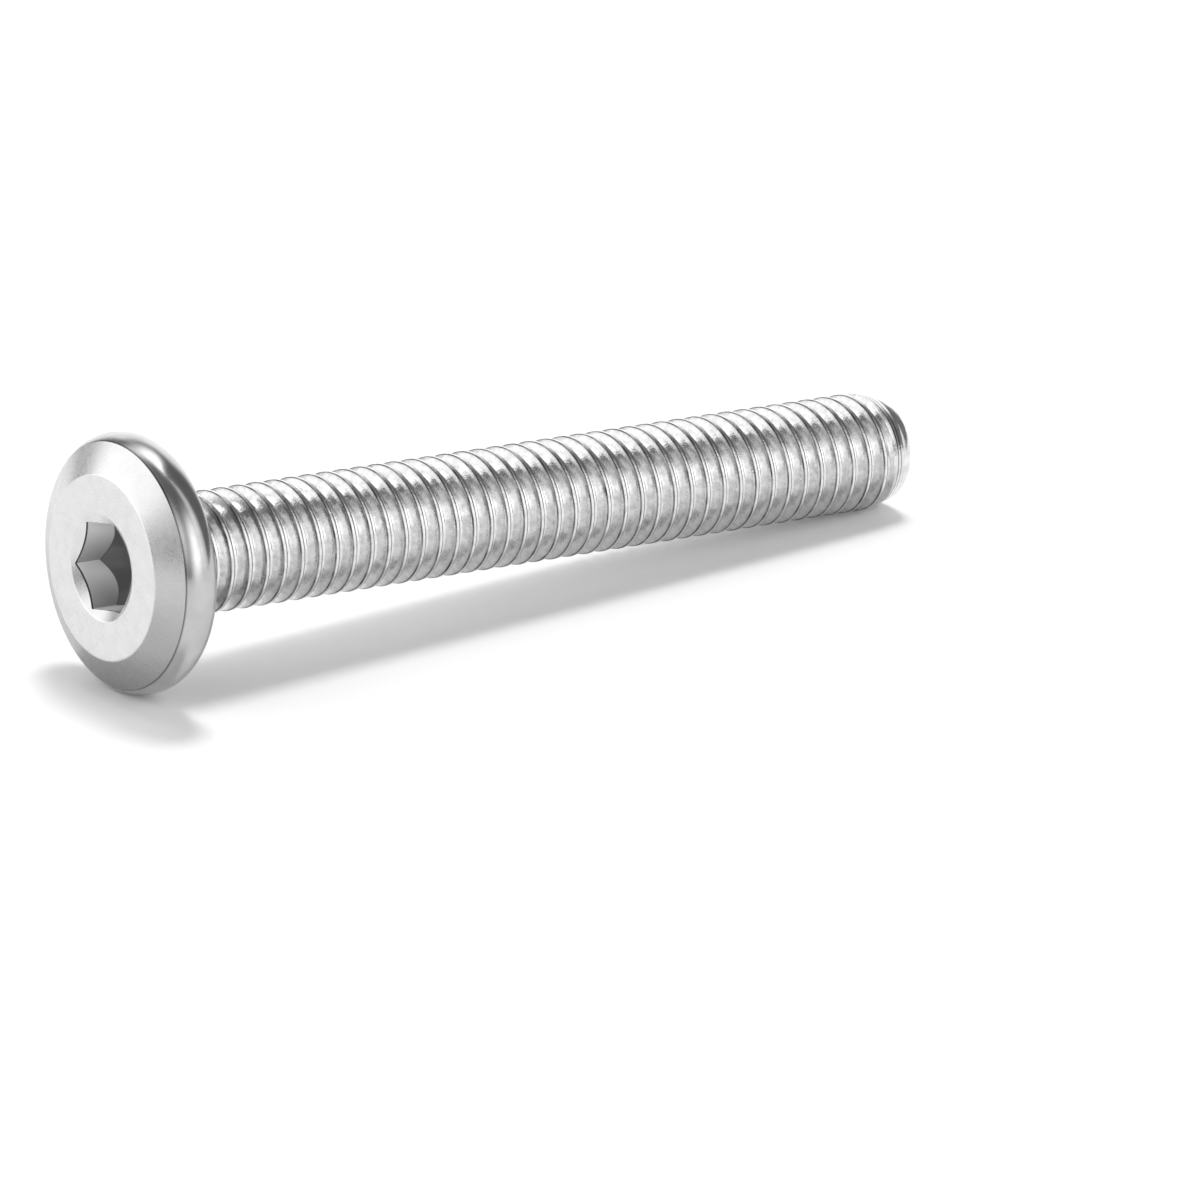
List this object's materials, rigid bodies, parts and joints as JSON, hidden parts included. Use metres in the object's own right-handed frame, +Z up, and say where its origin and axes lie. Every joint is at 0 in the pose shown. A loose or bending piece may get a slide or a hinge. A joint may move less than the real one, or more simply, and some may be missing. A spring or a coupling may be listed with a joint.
{
  "type": "hex socket connector bolt",
  "caption": "Socket bolt with a wide bevelled flat head, rounded rim, flat underside, short filleted neck and a full-length metric thread, lying on its head's rim and its thread.",
  "frame": {"origin": "on the surface the bolt lies on, under the middle of its bounding box", "axes": "+X runs along the bolt from the head to the tip, +Z is up; the bolt's own axis dips 4.40 degrees towards the tip"},
  "size_m": [0.047, 0.0124, 0.0124],
  "materials": {
    "plated_steel": "bright plated steel with a fine satin"
  },
  "bodies": {
    "root": {"bolt": "plated_steel"}
  },
  "joints": []
}
